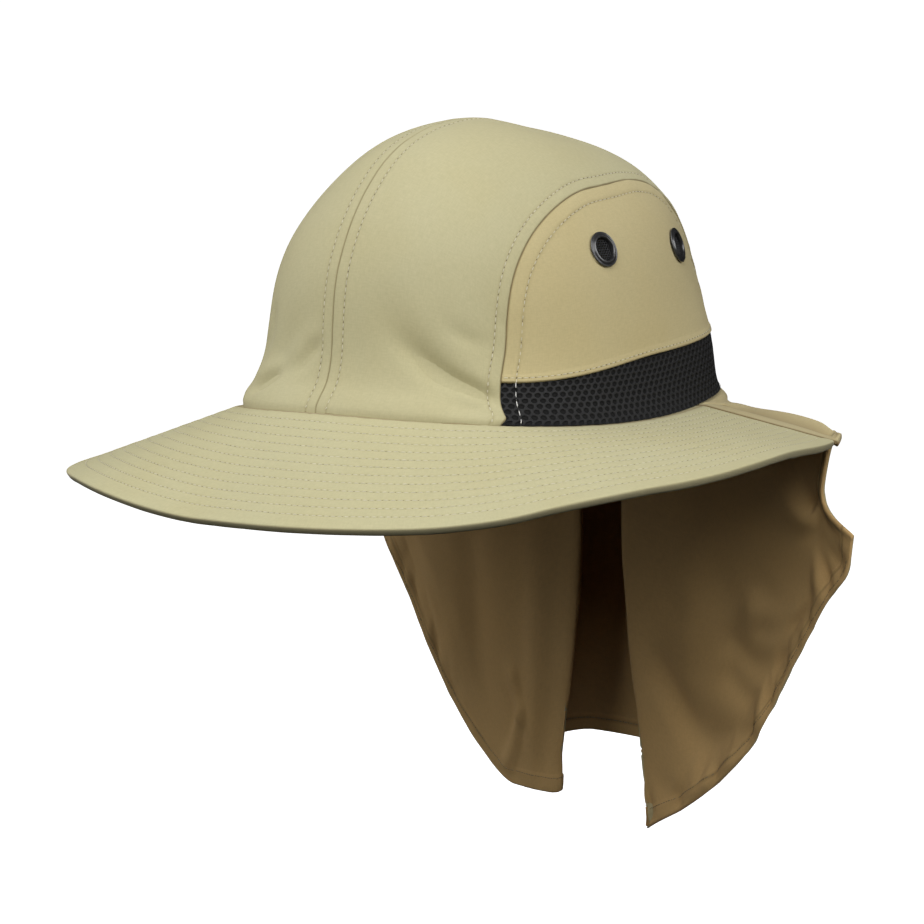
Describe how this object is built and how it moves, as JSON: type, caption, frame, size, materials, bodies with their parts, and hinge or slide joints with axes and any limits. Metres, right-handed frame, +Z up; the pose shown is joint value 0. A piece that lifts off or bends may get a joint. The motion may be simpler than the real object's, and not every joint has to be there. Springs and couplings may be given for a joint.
{
  "type": "sun hat with neck cape",
  "caption": "Wide-brimmed cloth sun hat with a sewn crown, stitched brim, mesh side vents, metal eyelets and a neck cape hanging at the back.",
  "frame": {"origin": "centre of the head opening, on the line where the crown is sewn to the brim", "axes": "+Z up through the crown, -Y the way the hat faces, +X the wearer's left"},
  "size_m": [0.3039, 0.2696, 0.2943],
  "materials": {
    "tan_cloth": "matte woven khaki cloth with topstitching",
    "cape_cloth": "matte woven khaki cloth, its shaded inner side",
    "black_mesh": "black knitted spacer mesh",
    "black_enamel": "glossy black enamel on pressed metal"
  },
  "bodies": {
    "root": {"crown_panel_left": "tan_cloth", "crown_panel_right": "tan_cloth", "side_panel_left": "tan_cloth", "side_panel_right": "tan_cloth", "mesh_band_left": "black_mesh", "mesh_band_right": "black_mesh", "eyelet_left_front": "black_enamel", "eyelet_left_rear": "black_enamel", "eyelet_right_front": "black_enamel", "eyelet_right_rear": "black_enamel", "brim": "tan_cloth", "neck_cape": "cape_cloth"}
  },
  "joints": []
}
